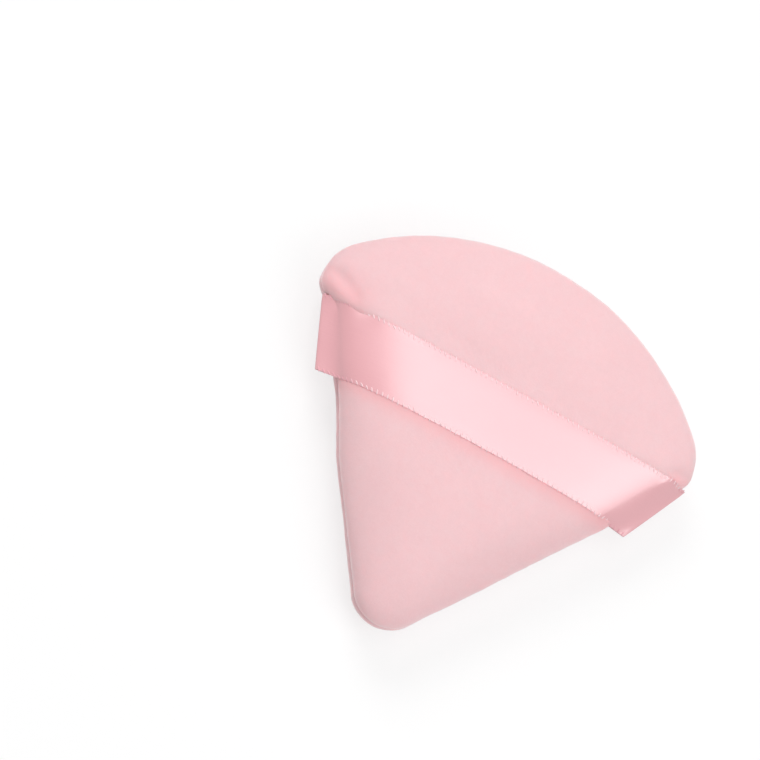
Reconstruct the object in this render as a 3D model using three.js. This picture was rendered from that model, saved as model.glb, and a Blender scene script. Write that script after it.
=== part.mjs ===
// A triangle powder puff: two velour covers sewn together, turned and filled with a sponge, and a
// satin ribbon strap whose ends are caught in the side seams.
// Millimetres, +Z up. The puff lies on its back, +Y runs from its tip to its arc, and X along the strap.
// The origin is on the table under the middle of the puff.
import * as THREE from "three";

const { smoothstep, lerp, degToRad } = THREE.MathUtils;

// Plan of the pad: two straight sides, a round tip, round corners and an arc
const PAD_WIDTH = 75.4;
const PAD_LENGTH = 72;
const SIDE_HALF_ANGLE = degToRad(35);
const TIP_RADIUS = 7;
const CORNER_RADIUS = 8.6;

// Height of the pad
const SEAM_HEIGHT = 7;
const FRONT_HEIGHT = 8;
const CROWN_POWER = 3.2;
const BACK_EDGE_ROUND = 11;

// Cloth, seam and sewing thread
const COVER_THICKNESS = 1.2;
const SEAM_ALLOWANCE = 4;
const THREAD_DIAMETER = 0.4;
const STITCH_LENGTH = 3;
const STITCH_INSET = 2;
const STITCH_WAVE = 0.15;
const TURNING_GAP = 26;
const TURNING_GAP_FROM_TIP = 11;
const LADDER_INSET = 1.6;
const LADDER_WAVE = 0.6;

// Ribbon strap
const RIBBON_WIDTH = 12;
const RIBBON_THICKNESS = 0.4;
const STRAP_FROM_TIP = 41.2;
const FINGER_SPAN = 36;
const TAIL_LENGTH = 3.5;
const TAIL_BEND = 0.8;
const STRAP_STANDOFF = 0.25;
const STRAP_FLARE = 2;
const STRAP_PINCH = 1.8;
const PINCH_FROM_STRAP = -2.5;
const PINCH_REACH = 4.5;
const SEAM_LIFT_MARGIN = 3;
const SEAM_LIFT_RUN = 8;

const CLEARANCE = 0.3;

// Fineness of the meshes. The outline's steps are those of its tip, side, corner, arc, corner, side and tip.
const OUTLINE_STEPS = [5, 14, 8, 14, 8, 14, 5];
const FRONT_RINGS = 8;
const INNER_RINGS = 6;
const BACK_RINGS = 5;
const FOLD_RINGS = 2;
const RIBBON_LANES = 5;
const MIDDLE_STATIONS = 13;
const SHOULDER_STATIONS = 13;
const TAIL_BEND_STATIONS = 4;
const THREAD_SIDES = 6;
const DENSE_OUTLINE = 720;

// The gap between the turned-in allowances holds the thread. At the strap it opens for the ribbon as well.
const SEAM_GAP = THREAD_DIAMETER + 2 * CLEARANCE;
const FRONT_EQUATOR = SEAM_HEIGHT + SEAM_GAP / 2 + COVER_THICKNESS;
const BACK_EQUATOR = SEAM_HEIGHT - SEAM_GAP / 2 - COVER_THICKNESS;
const FRONT_TOP = SEAM_HEIGHT + FRONT_HEIGHT;
const STRAP_Y = -PAD_LENGTH / 2 + STRAP_FROM_TIP;

const sideSin = Math.sin(SIDE_HALF_ANGLE);
const sideCos = Math.cos(SIDE_HALF_ANGLE);
const sidesMeetY = -PAD_LENGTH / 2 + TIP_RADIUS - TIP_RADIUS / sideSin;
// The pad's middle is as far from the arc as from the straight sides
const middle = new THREE.Vector2(0, (PAD_LENGTH / 2 + sidesMeetY * sideSin) / (1 + sideSin));
const outline = padOutline();
const outlineLength = outline.getLength();
const unpinchedOutline = outline.getSpacedPoints(DENSE_OUTLINE).slice(0, DENSE_OUTLINE);
const denseOutline = unpinchedOutline.map(pinched);
const plan = outlineStretches().flatMap((curve, i) => {
  return curve.getSpacedPoints(OUTLINE_STEPS[i]).slice(0, OUTLINE_STEPS[i]).map(pinched);
});

// Starts at the tip and runs anticlockwise: right side, right corner, arc, left corner, left side
function padOutline() {
  const tipY = -PAD_LENGTH / 2 + TIP_RADIUS;
  const cornerX = PAD_WIDTH / 2 - CORNER_RADIUS;
  const cornerY = sidesMeetY + (cornerX * sideCos + CORNER_RADIUS) / sideSin;
  const rise = PAD_LENGTH / 2 - cornerY;
  const arcRadius = (cornerX ** 2 + rise ** 2 - CORNER_RADIUS ** 2) / (2 * (rise - CORNER_RADIUS));
  const arcY = PAD_LENGTH / 2 - arcRadius;
  const arcStart = Math.atan2(cornerY - arcY, cornerX);
  const path = new THREE.Path();
  path.absarc(0, tipY, TIP_RADIUS, -Math.PI / 2, -SIDE_HALF_ANGLE);
  path.absarc(cornerX, cornerY, CORNER_RADIUS, -SIDE_HALF_ANGLE, arcStart);
  path.absarc(0, arcY, arcRadius, arcStart, Math.PI - arcStart);
  path.absarc(-cornerX, cornerY, CORNER_RADIUS, Math.PI - arcStart, Math.PI + SIDE_HALF_ANGLE);
  path.absarc(0, tipY, TIP_RADIUS, Math.PI + SIDE_HALF_ANGLE, 1.5 * Math.PI);
  return path;
}

// The outline's arcs and lines, without the hairline joins that rounding leaves between arcs
function outlineStretches() {
  return outline.curves.filter((curve) => curve.getLength() > CLEARANCE);
}

// Moves a point of the plan straight towards the pad's middle
function drawnIn(point, distance) {
  const inward = middle.clone().sub(point).setLength(distance);
  return point.clone().add(inward);
}

// The strap pulls the sides of the pad in where it is sewn, most towards the tip
function pinched(point) {
  const away = (point.y - STRAP_Y - PINCH_FROM_STRAP) / PINCH_REACH;
  return drawnIn(point, STRAP_PINCH * Math.exp(-away * away));
}

// How much thicker the seam is where it holds the strap's tails
function seamLift(y) {
  const start = RIBBON_WIDTH / 2 + SEAM_LIFT_MARGIN;
  const fall = smoothstep(Math.abs(y - STRAP_Y), start, start + SEAM_LIFT_RUN);
  return (RIBBON_THICKNESS + CLEARANCE) * (1 - fall);
}

// The point of the pinched outline that lies beyond a point of the plan, seen from the pad's middle
function edgeBeyond(point) {
  const ray = point.clone().sub(middle);
  const sides = denseOutline.map((p) => ray.cross(p.clone().sub(middle)));
  const before = sides.findIndex((side, i) => side <= 0 && sides[(i + 1) % DENSE_OUTLINE] > 0);
  const after = (before + 1) % DENSE_OUTLINE;
  const share = sides[before] / (sides[before] - sides[after]);
  return denseOutline[before].clone().lerp(denseOutline[after], share);
}

// Height of the front cover's outer face over a point of the plan
function frontHeight(x, y) {
  const point = new THREE.Vector2(x, y);
  const edge = edgeBeyond(point);
  const share = Math.min(1, point.distanceTo(middle) / edge.distanceTo(middle));
  const equator = FRONT_EQUATOR + seamLift(edge.y);
  return lerp(equator, FRONT_TOP, Math.sqrt(1 - share ** CROWN_POWER));
}

// Half the width of an outline at a height of the plan that the straight sides or the corners reach
function halfWidth(points, y) {
  const crossing = points.findIndex((p, i) => p.y <= y && points[i + 1].y > y);
  const a = points[crossing];
  const b = points[crossing + 1];
  return lerp(a.x, b.x, (y - a.y) / (b.y - a.y));
}

// One loop round the pad, drawn in by a distance, then shrunk to a share of its distance from the middle
function ring(inset, share, height) {
  return plan.map((edge) => {
    const point = drawnIn(edge, inset).sub(middle).multiplyScalar(share).add(middle);
    const z = typeof height === "function" ? height(edge.y) : height;
    return new THREE.Vector3(point.x, point.y, z);
  });
}

// Joins loops of equal point counts into one closed solid, with a fan to a point at each end
function loft(rings, firstTip, lastTip) {
  const count = rings[0].length;
  const points = [...rings.flat(), firstTip, lastTip];
  const first = points.length - 2;
  const last = points.length - 1;
  const lastRing = (rings.length - 1) * count;
  const index = [];
  for (let i = 0; i < count; i++) {
    const next = (i + 1) % count;
    for (let start = 0; start < lastRing; start += count) {
      const a = start + i;
      const b = start + next;
      index.push(a, b, b + count, a, b + count, a + count);
    }
    index.push(first, next, i);
    index.push(last, lastRing + i, lastRing + next);
  }
  const geometry = new THREE.BufferGeometry().setFromPoints(points);
  geometry.setIndex(facingOut(points, index));
  geometry.computeVertexNormals();
  return geometry;
}

// Turns the triangles round if they enclose their solid inside out
function facingOut(points, index) {
  let volume = 0;
  for (let i = 0; i < index.length; i += 3) {
    const [a, b, c] = index.slice(i, i + 3).map((n) => points[n]);
    volume += a.dot(b.clone().cross(c));
  }
  return volume < 0 ? index.slice().reverse() : index;
}

function atMiddle(z) {
  return new THREE.Vector3(middle.x, middle.y, z);
}

// Steps of a quarter turn, from just after its start to its end
function quarterTurn(steps) {
  return Array.from({ length: steps }, (_, i) => ((i + 1) / steps) * (Math.PI / 2));
}

// Crowned loops over the front, from just above the equator to just below the top
function crown(inset, bottom, top, rings) {
  return quarterTurn(rings).slice(0, -1).map((turn) => {
    const share = Math.cos(turn) ** (2 / CROWN_POWER);
    return ring(inset, share, (y) => lerp(bottom(y), top, Math.sin(turn)));
  });
}

// Rounded loops under the back, from just below the equator to the edge of the flat
function backEdge(inset, top, bottom, rings) {
  return quarterTurn(rings).map((turn) => {
    const reach = (BACK_EDGE_ROUND - inset) * (1 - Math.cos(turn));
    return ring(inset + reach, 1, lerp(top, bottom, Math.sin(turn)));
  });
}

function frontCover() {
  const equator = (y) => FRONT_EQUATOR + seamLift(y);
  const underside = (y) => equator(y) - COVER_THICKNESS;
  const fold = quarterTurn(FOLD_RINGS).map((turn) => {
    const inset = COVER_THICKNESS * (1 - Math.cos(turn));
    return ring(inset, 1, (y) => equator(y) - COVER_THICKNESS * Math.sin(turn));
  });
  const innerTop = FRONT_TOP - COVER_THICKNESS;
  const rings = [
    ...crown(0, equator, FRONT_TOP, FRONT_RINGS).reverse(),
    ring(0, 1, equator),
    ...fold,
    ring(COVER_THICKNESS + SEAM_ALLOWANCE, 1, underside),
    ring(COVER_THICKNESS + SEAM_ALLOWANCE, 1, equator),
    ring(COVER_THICKNESS, 1, equator),
    ...crown(COVER_THICKNESS, equator, innerTop, INNER_RINGS),
  ];
  return loft(rings, atMiddle(FRONT_TOP), atMiddle(innerTop));
}

function backCover() {
  const topside = BACK_EQUATOR + COVER_THICKNESS;
  const fold = quarterTurn(FOLD_RINGS).map((turn) => {
    const inset = COVER_THICKNESS * (1 - Math.cos(turn));
    return ring(inset, 1, BACK_EQUATOR + COVER_THICKNESS * Math.sin(turn));
  });
  const rings = [
    ...backEdge(0, BACK_EQUATOR, 0, BACK_RINGS).reverse(),
    ring(0, 1, BACK_EQUATOR),
    ...fold,
    ring(COVER_THICKNESS + SEAM_ALLOWANCE, 1, topside),
    ring(COVER_THICKNESS + SEAM_ALLOWANCE, 1, BACK_EQUATOR),
    ring(COVER_THICKNESS, 1, BACK_EQUATOR),
    ...backEdge(COVER_THICKNESS, BACK_EQUATOR, COVER_THICKNESS, BACK_RINGS),
  ];
  return loft(rings, atMiddle(0), atMiddle(COVER_THICKNESS));
}

// Fills the covers, with a groove all round for the turned-in allowances
function spongeCore() {
  const inset = COVER_THICKNESS + CLEARANCE;
  const equator = (y) => FRONT_EQUATOR + seamLift(y);
  const grooveTop = (y) => equator(y) + CLEARANCE;
  const grooveBottom = BACK_EQUATOR - CLEARANCE;
  const grooveInset = inset + SEAM_ALLOWANCE;
  const rings = [
    ...backEdge(inset, BACK_EQUATOR, inset, BACK_RINGS).reverse(),
    ring(inset, 1, grooveBottom),
    ring(grooveInset, 1, grooveBottom),
    ring(grooveInset, 1, grooveTop),
    ring(inset, 1, grooveTop),
    ...crown(inset, equator, FRONT_TOP - inset, INNER_RINGS),
  ];
  return loft(rings, atMiddle(inset), atMiddle(FRONT_TOP - inset));
}

// Turns a lane's points over the pad into the ribbon's upper and lower faces there
function ribbonFaces(lane, y) {
  return lane.map((point, i) => {
    const before = lane[Math.max(0, i - 1)];
    const after = lane[Math.min(lane.length - 1, i + 1)];
    const outward = after.clone().sub(before).rotateAround(new THREE.Vector2(), Math.PI / 2);
    outward.setLength(RIBBON_THICKNESS / 2);
    const upper = point.clone().add(outward);
    const lower = point.clone().sub(outward);
    return [upper, lower].map((p) => new THREE.Vector3(p.x, y, p.y));
  });
}

// Builds a ribbon from its lanes, which run side by side along it, each with the same number of stations
function ribbon(laneAt) {
  const lanes = Array.from({ length: RIBBON_LANES }, (_, i) => {
    const across = i / (RIBBON_LANES - 1);
    const y = STRAP_Y + (across - 0.5) * RIBBON_WIDTH;
    return ribbonFaces(laneAt(y, across), y);
  });
  const rings = lanes[0].map((_, station) => {
    const upper = lanes.map((lane) => lane[station][0]);
    const lower = lanes.map((lane) => lane[station][1]);
    return [...upper, ...lower.reverse()];
  });
  const centre = (points) => {
    const sum = points.reduce((total, p) => total.add(p), new THREE.Vector3());
    return sum.divideScalar(points.length);
  };
  return loft(rings, centre(rings[0]), centre(rings[rings.length - 1]));
}

const RIBBON_RISE = CLEARANCE + STRAP_STANDOFF + RIBBON_THICKNESS / 2;

// The stretch that fingers lift, laid over the crown
function strapMiddle() {
  const half = FINGER_SPAN / 2;
  return ribbon((y) => {
    return Array.from({ length: MIDDLE_STATIONS }, (_, i) => {
      const x = lerp(-half, half, i / (MIDDLE_STATIONS - 1));
      return new THREE.Vector2(x, frontHeight(x, y) + RIBBON_RISE);
    });
  });
}

// The shoulder that goes over the side and bends into the seam. Its fold is straight, so it stands off
// the pad where the side is pulled in, and further towards the tip.
function strapEnd(side) {
  const start = FINGER_SPAN / 2 + CLEARANCE;
  return ribbon((y, across) => {
    const edgeX = halfWidth(denseOutline, y);
    const flare = halfWidth(unpinchedOutline, y) - edgeX + STRAP_FLARE * (1 - across);
    const over = [];
    for (let i = 0; i < SHOULDER_STATIONS; i++) {
      const turn = (i / (SHOULDER_STATIONS - 1)) * (Math.PI / 2);
      const x = lerp(start, edgeX, Math.sin(turn));
      over.push(new THREE.Vector2(x, frontHeight(x, y)));
    }
    const top = over[0].y;
    const drop = top - over[SHOULDER_STATIONS - 1].y;
    const lane = over.map((point, i) => {
      const before = over[Math.max(0, i - 1)];
      const after = over[Math.min(SHOULDER_STATIONS - 1, i + 1)];
      const outward = after.clone().sub(before).rotateAround(new THREE.Vector2(), Math.PI / 2);
      const fallen = (top - point.y) / drop;
      const shift = new THREE.Vector2(flare * fallen * fallen, 0);
      return point.clone().add(outward.setLength(RIBBON_RISE)).add(shift);
    });
    const outerX = edgeX + RIBBON_RISE + flare;
    for (const turn of quarterTurn(TAIL_BEND_STATIONS)) {
      const x = outerX - TAIL_BEND * (1 - Math.cos(turn));
      const z = SEAM_HEIGHT + TAIL_BEND * (1 - Math.sin(turn));
      lane.push(new THREE.Vector2(x, z));
    }
    lane.push(new THREE.Vector2(edgeX - TAIL_LENGTH, SEAM_HEIGHT));
    return lane.map((point) => point.setX(side * point.x));
  });
}

// A wavy thread in the seam, between two distances along the outline from the tip
function threadAlong(from, to, inset, wave) {
  const halfStitches = 2 * Math.round((to - from) / STITCH_LENGTH);
  const points = Array.from({ length: halfStitches + 1 }, (_, i) => {
    const along = lerp(from, to, i / halfStitches) / outlineLength;
    const edge = pinched(outline.getPoint(along % 1));
    const point = drawnIn(edge, inset + (i % 2 ? wave : -wave));
    return new THREE.Vector3(point.x, point.y, SEAM_HEIGHT + seamLift(edge.y));
  });
  const section = new THREE.Shape(
    Array.from({ length: THREAD_SIDES }, (_, i) => {
      const angle = (i / THREAD_SIDES) * 2 * Math.PI;
      return new THREE.Vector2(Math.cos(angle), Math.sin(angle)).multiplyScalar(THREAD_DIAMETER / 2);
    }),
  );
  const route = new THREE.CatmullRomCurve3(points);
  return new THREE.ExtrudeGeometry(section, { extrudePath: route, steps: halfStitches, bevelEnabled: false });
}

const turningGapEnd = TURNING_GAP_FROM_TIP + TURNING_GAP;

const velour = new THREE.MeshStandardMaterial({ color: 0xf5c9cd, roughness: 1, metalness: 0 });
const satin = new THREE.MeshStandardMaterial({ color: 0xf3c3cb, roughness: 0.35, metalness: 0 });
const sponge = new THREE.MeshStandardMaterial({ color: 0xf6efe4, roughness: 0.95, metalness: 0 });
const thread = new THREE.MeshStandardMaterial({ color: 0xefb6bd, roughness: 0.7, metalness: 0 });

const puff = new THREE.Group();

function addPiece(name, geometry, material) {
  const mesh = new THREE.Mesh(geometry, material);
  mesh.name = name;
  puff.add(mesh);
}

addPiece("front_cover", frontCover(), velour);
addPiece("back_cover", backCover(), velour);
addPiece("sponge_core", spongeCore(), sponge);
addPiece("strap_middle", strapMiddle(), satin);
addPiece("left_strap_end", strapEnd(-1), satin);
addPiece("right_strap_end", strapEnd(1), satin);
addPiece(
  "seam_thread",
  threadAlong(turningGapEnd + CLEARANCE, outlineLength + TURNING_GAP_FROM_TIP - CLEARANCE, STITCH_INSET, STITCH_WAVE),
  thread,
);
addPiece(
  "closing_thread",
  threadAlong(TURNING_GAP_FROM_TIP + CLEARANCE, turningGapEnd - CLEARANCE, LADDER_INSET, LADDER_WAVE),
  thread,
);

export default puff;
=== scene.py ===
"""A triangle powder puff: a velour pad with a satin ribbon strap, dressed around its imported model.

Sizes are in millimetres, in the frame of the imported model: the puff lies on its back, +Z is up,
+Y runs from its tip to its arc, and X runs along the strap.
"""

import math

import bpy
import numpy as np
from mathutils import Matrix, Vector


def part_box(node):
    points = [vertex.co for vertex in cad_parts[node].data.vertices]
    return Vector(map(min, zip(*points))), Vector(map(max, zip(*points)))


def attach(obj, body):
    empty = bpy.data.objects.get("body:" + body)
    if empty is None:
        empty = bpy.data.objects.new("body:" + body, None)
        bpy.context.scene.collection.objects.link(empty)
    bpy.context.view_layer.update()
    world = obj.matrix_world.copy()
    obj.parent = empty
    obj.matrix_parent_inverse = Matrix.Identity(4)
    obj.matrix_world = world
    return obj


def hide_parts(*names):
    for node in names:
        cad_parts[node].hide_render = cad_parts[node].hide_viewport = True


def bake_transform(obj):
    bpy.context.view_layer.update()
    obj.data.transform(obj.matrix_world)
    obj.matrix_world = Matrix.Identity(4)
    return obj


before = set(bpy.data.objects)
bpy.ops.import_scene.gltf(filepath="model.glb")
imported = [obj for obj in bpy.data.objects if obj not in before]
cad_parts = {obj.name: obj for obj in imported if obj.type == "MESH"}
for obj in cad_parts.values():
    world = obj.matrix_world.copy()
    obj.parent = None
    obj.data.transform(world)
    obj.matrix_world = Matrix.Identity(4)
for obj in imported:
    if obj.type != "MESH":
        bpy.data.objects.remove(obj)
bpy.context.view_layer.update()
scene = bpy.context.scene

MM = 0.001
LEFT = -1
RIGHT = 1


def node_box(node):
    """A node's lowest and highest corner, in millimetres."""
    low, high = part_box(node)
    return np.array(low) / MM, np.array(high) / MM


front_low, front_high = node_box("front_cover")
back_high = node_box("back_cover")[1]
strap_low, strap_high = node_box("strap_middle")

# Plan of the pad
PAD_WIDTH = 75.4
PAD_LENGTH = front_high[1] - front_low[1]
SIDE_HALF_ANGLE = math.radians(35)
TIP_RADIUS = 7
CORNER_RADIUS = 8.6

# Height of the pad
SEAM_HEIGHT = (front_low[2] + back_high[2]) / 2
SEAM_GAP = front_low[2] - back_high[2]
SEAM_ALLOWANCE = 4
FRONT_TOP = front_high[2]
FOLD_RADIUS = 1.5
COVER_THICKNESS = 1.2
CROWN_POWER = 3.2
# About how far the crown reaches, by which its rings are spaced
PROFILE_REACH = 32
BACK_EDGE_ROUND = 11
# How late the outline of the back passes into that of the seam
BACK_BLEND_POWER = 4

# Where the strap lies. It is sewn on a little askew.
STRAP_Y = (strap_low[1] + strap_high[1]) / 2
STRAP_SKEW = math.tan(math.radians(1.4))
STRAP_SHIFT = 0.9
FINGER_SPAN = 36
RIBBON_WIDTH = strap_high[1] - strap_low[1]
RIBBON_THICKNESS = 0.14
# Its height over the pad, and how its edges droop onto the pile
RIBBON_RISE = 0.13
EDGE_DROOP = 0.1
EDGE_DROOP_POWER = 6
# How its upper edge sinks into the pile on the left, and where along it that starts and ends
EDGE_SINK = 0.5
EDGE_SINK_POWER = 12
EDGE_SINK_X = (25, 30)
EDGE_FREE_X = (28.5, 32)
# How it widens towards its folds
FOLD_SPREAD = 0.3
SPREAD_X = (26, 37)

# How its ends go over the sides: down the pad, out to a sharp fold, and back into the seam
FOLD_BEND = 0.22
FLARE_EASE = 0.82
TAIL_SLIP = 1.4
# How far the tail's stations lie inside the outline, and their heights over the seam
TAIL_INSETS = (0.1, 1.2, 3.5)
TAIL_HEIGHTS = (0.15, 0, 0)
# The share of the way out at which the ribbon leaves the pad
LEAVING_SHARE = {LEFT: 0.955, RIGHT: 0.91}
# At its lower and upper edge: how far the fold stands out from the sides, and its height over the seam
STRAP_FLARE = {LEFT: (2.05, -0.95), RIGHT: (3.6, 1.4)}
FOLD_HEIGHT = {LEFT: (0.9, 2.0), RIGHT: (0.9, 1.1)}
# How far the lower edge sags between the pad and the fold, and how far the upper one stands up there
EDGE_SAG = {LEFT: 0, RIGHT: 0.8}
EDGE_LIFT = {LEFT: 0.6, RIGHT: 0.9}
SAG_POWER = 10

# How the strap pulls the pad in, and the corners swell out above it
SIDE_PINCH = {LEFT: 1.3, RIGHT: 0.1}
SIDE_PINCH_Y = (-15, -2.5)
CORNER_PINCH = {LEFT: 2.2, RIGHT: 0.5}
CORNER_PINCH_Y = (0, 9.5)
PINCH_END_Y = (9.6, 13.6)
CORNER_SWELL = {LEFT: 0, RIGHT: 0.4}
CORNER_SWELL_Y = 14.2
CORNER_SWELL_REACH = 1.8
BACK_PINCH_SHARE = 0.35
# How the covers part at the seam to hold the strap's tails
SEAM_PARTING = 0.1
SEAM_PARTING_MARGIN = 0.2
SEAM_PARTING_RUN = 2

# Slow waves of the stuffed pad: for each its share, its rates along X and Y, and its phase
WAVE_HEIGHT = 0.08
WAVES = ((0.5, 0.31, 0.11, 0.4), (0.35, -0.19, 0.23, 2.1), (0.25, 0.47, -0.38, 4.0))

# Puckers of the seam, and the amounts and rates at which their places drift
PUCKER_HEIGHT = 0.035
PUCKER_LENGTH = 4.6
PUCKER_REACH = 3
PUCKER_DRIFTS = ((1.3, 0.21), (0.9, 0.083))

# How the strap's shoulders press the front in, and how the velour swells beside them
SHOULDER_X = (20, 28)
PRESS_DEPTH = 0.25
PRESS_RAMP = (-0.5, 1.5)
BULGE_HEIGHT = 0.14
BULGE_REACH = 1.6
BULGE_FROM_EDGE = 1.7
LOWER_BULGE_SHARE = 0.5
# The velour's lip along the upper edge on the left, and where it rises and falls away from that edge
LIP_HEIGHT = 0.15
LIP_X = (28, 31.5)
LIP_RISE = (-0.5, 0.5)
LIP_FALL = (1, 4)
# The roll of velour at the left fold, and the creases above both folds
ROLL = (-35.2, 12.6)
ROLL_HEIGHT = 0.15
ROLL_REACH = 1.4
CREASES = (((-35.6, 14.6), (-30.8, 12.2)), ((36.6, 14.2), (34.4, 13.6)))
CREASE_DEPTH = 0.5
CREASE_REACH = 1.2

# Where the pile is pressed flat under the strap, with a painted shadow past its edges (mostly the lower
# one) and painted shade in two hollows
PRESSED_MARGIN = 1
PRESSED_AND_SHADOW_FADE = (3.5, 0.6)
HOLLOW_SHADE_SHARE = 0.6
# Each shaded hollow's outer end, inner end and reach
SHADED_HOLLOWS = (((-35.5, 12.9), (-31, 11.8), 2.8), ((37, 13), (35, 12.6), 1.4))

# Cloth simulation of the covers, on every few of their points
SIM_FRAMES = 20
SIM_RING_STEP = 4
SIM_POINT_STEP = 4
SIM_PRESSURE = 4
SIM_VERTEX_MASS = 0.0004
SIM_STIFFNESS = 0.3
SIM_BEND_STIFFNESS = SIM_STIFFNESS / 3
SWELL_CAP = 0.45
LEAST_MOVE = 1e-9
# How far past its edges the strap holds the front, and the heights up to which the floor holds the back
HELD_MARGIN = 0.4
HELD_RUN = 4
FLOOR_HOLD = (0.05, 1)

# Weft loops on the ribbon's edges
LOOP_PITCH = 1.02
LOOP_HALF_LENGTH = 0.46
LOOP_RADIUS = 0.155
LOOP_FLATNESS = 0.6
LOOP_INSET = 0.26
LOOP_RISE = 0.02
LOOP_SLANT = math.radians(62)
# How unlike they slant and lie, and how fast that changes from loop to loop
LOOP_UNEVENNESS = 0.3
LOOP_SLANT_RATE = 7.3
LOOP_STRAY = 0.07
LOOP_STRAY_RATE = 5.1
# How far from the fold the loops of the lower and the upper edge get a painted shade, where the ribbon
# turns down
SHADED_LOOP_RUN = {LEFT: (7.5, 7.3), RIGHT: (5, 2)}
SHADED_LOOP_FADE = 1

# Stitches
STITCH_PITCH = 3
STITCH_RADIUS = 0.19
STITCH_AHEAD = 0.5
SEAM_STITCH_INSET = 1
SEAM_STITCH_HALF_LENGTH = 1.2
LADDER_INSET = 0.62
LADDER_HALF_LENGTH = 0.55
LADDER_LEAN = 0.25
# Where the puff was turned and filled, as distances along its outline from the tip
TURNING_GAP = (11, 37)

# Filling
SPONGE_INSET = 1.5
SPONGE_WAIST = 6.2
SPONGE_WAIST_HEIGHT = 2.2

# Fineness of the meshes
ARC_POINTS = 500
PROFILE_POINTS = 400
OUTLINE_POINTS = 400
CROWN_RINGS = 60
FOLD_RINGS = 6
TURNED_IN_RINGS = 2
BACK_RINGS = 16
LANES = 13
MIDDLE_STATIONS = 61
SHOULDER_STATIONS = 41
FLARE_STATIONS = 12
BEND_STATIONS = 7
CAPSULE_SIDES = 6
CAPSULE_TURNS = np.radians([-60, -25, 0, 25, 60])
SHARP_ANGLE = math.radians(50)


# Numbers and vectors
def smoothstep(value, start, end):
    """0 up to the start, 1 from the end on, and a smooth rise between them."""
    share = np.clip((value - start) / (end - start), 0, 1)
    return share * share * (3 - 2 * share)


def bump(distance, reach):
    """A bell that is 1 at no distance and falls away over the reach."""
    return np.exp(-((distance / reach) ** 2))


def by_side(x, values):
    return np.where(x < 0, values[LEFT], values[RIGHT])


def unit(vectors):
    return vectors / np.linalg.norm(vectors, axis=-1, keepdims=True)


def turned_left(vectors):
    return np.stack([-vectors[..., 1], vectors[..., 0]], axis=-1)


def closed(loop):
    return np.concatenate([loop, loop[:1]])


def distances_along(points):
    steps = np.linalg.norm(np.diff(points, axis=0), axis=1)
    return np.concatenate([[0], np.cumsum(steps)])


def sampled(at, along, vectors, period=None):
    """Vectors that are given at some distances along a line, worked out at other distances."""
    return np.stack([np.interp(at, along, values, period=period) for values in vectors.T], axis=1)


def segment_distance(x, y, start, end):
    along = np.subtract(end, start)
    share = ((x - start[0]) * along[0] + (y - start[1]) * along[1]) / (along @ along)
    share = np.clip(share, 0, 1)
    return np.hypot(x - start[0] - share * along[0], y - start[1] - share * along[1])


# Outline of the pad
side_sin = math.sin(SIDE_HALF_ANGLE)
side_cos = math.cos(SIDE_HALF_ANGLE)
sides_meet_y = -PAD_LENGTH / 2 + TIP_RADIUS - TIP_RADIUS / side_sin
# The pad's middle is as far from the arc as from the straight sides
middle = np.array([0, (PAD_LENGTH / 2 + sides_meet_y * side_sin) / (1 + side_sin)])


def arc(centre_x, centre_y, radius, start, end):
    angles = np.linspace(start, end, ARC_POINTS)
    return np.stack([centre_x + radius * np.cos(angles), centre_y + radius * np.sin(angles)], axis=1)


def evenly_spaced(loop, count):
    """A closed loop again, with count points at equal distances along it."""
    along = distances_along(closed(loop))
    return sampled(np.linspace(0, along[-1], count, endpoint=False), along, closed(loop))


def pad_outline():
    """The plan from the tip anticlockwise: right side, right corner, arc, left corner, left side."""
    tip_y = -PAD_LENGTH / 2 + TIP_RADIUS
    corner_x = PAD_WIDTH / 2 - CORNER_RADIUS
    corner_y = sides_meet_y + (corner_x * side_cos + CORNER_RADIUS) / side_sin
    rise = PAD_LENGTH / 2 - corner_y
    arc_radius = (corner_x**2 + rise**2 - CORNER_RADIUS**2) / (2 * (rise - CORNER_RADIUS))
    arc_y = PAD_LENGTH / 2 - arc_radius
    arc_start = math.atan2(corner_y - arc_y, corner_x)
    left = math.pi
    down = 1.5 * math.pi
    loop = np.concatenate([
        arc(0, tip_y, TIP_RADIUS, -math.pi / 2, -SIDE_HALF_ANGLE),
        arc(corner_x, corner_y, CORNER_RADIUS, -SIDE_HALF_ANGLE, arc_start),
        arc(0, arc_y, arc_radius, arc_start, left - arc_start),
        arc(-corner_x, corner_y, CORNER_RADIUS, left - arc_start, left + SIDE_HALF_ANGLE),
        arc(0, tip_y, TIP_RADIUS, left + SIDE_HALF_ANGLE, down)[:-1],
    ])
    return evenly_spaced(loop, OUTLINE_POINTS)


def drawn_in(points, distance):
    """Points of the plan, moved straight towards the pad's middle."""
    return points + unit(middle - points) * np.broadcast_to(distance, len(points))[:, None]


def pinched(points, share=1):
    """The strap pulls the sides of the pad in where it is sewn, and the corners swell out above it."""
    x, y = points.T
    side_pull = by_side(x, SIDE_PINCH)
    corner_pull = by_side(x, CORNER_PINCH) - side_pull
    pull = side_pull * smoothstep(y, *SIDE_PINCH_Y) + corner_pull * smoothstep(y, *CORNER_PINCH_Y)
    pull = pull * (1 - smoothstep(y, *PINCH_END_Y))
    swell = by_side(x, CORNER_SWELL) * bump(y - CORNER_SWELL_Y, CORNER_SWELL_REACH)
    return drawn_in(points, share * (pull - swell))


plain_outline = pad_outline()
outline = pinched(plain_outline)
back_outline = pinched(plain_outline, BACK_PINCH_SHARE)
open_length = distances_along(outline)[-1]
outline_length = distances_along(closed(outline))[-1]


def reach_at(loop, y, side):
    """How far a loop reaches to the left or right, at a y that its straight sides pass."""
    half = loop[: OUTLINE_POINTS // 2] if side == RIGHT else loop[:0:-1][: OUTLINE_POINTS // 2]
    half = half[: np.argmax(half[:, 1] > PINCH_END_Y[1])]
    return np.interp(y, half[:, 1], side * half[:, 0])


def askew(x):
    """How far towards the arc the strap lies askew at a place along it."""
    return (x - STRAP_SHIFT) * STRAP_SKEW


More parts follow.
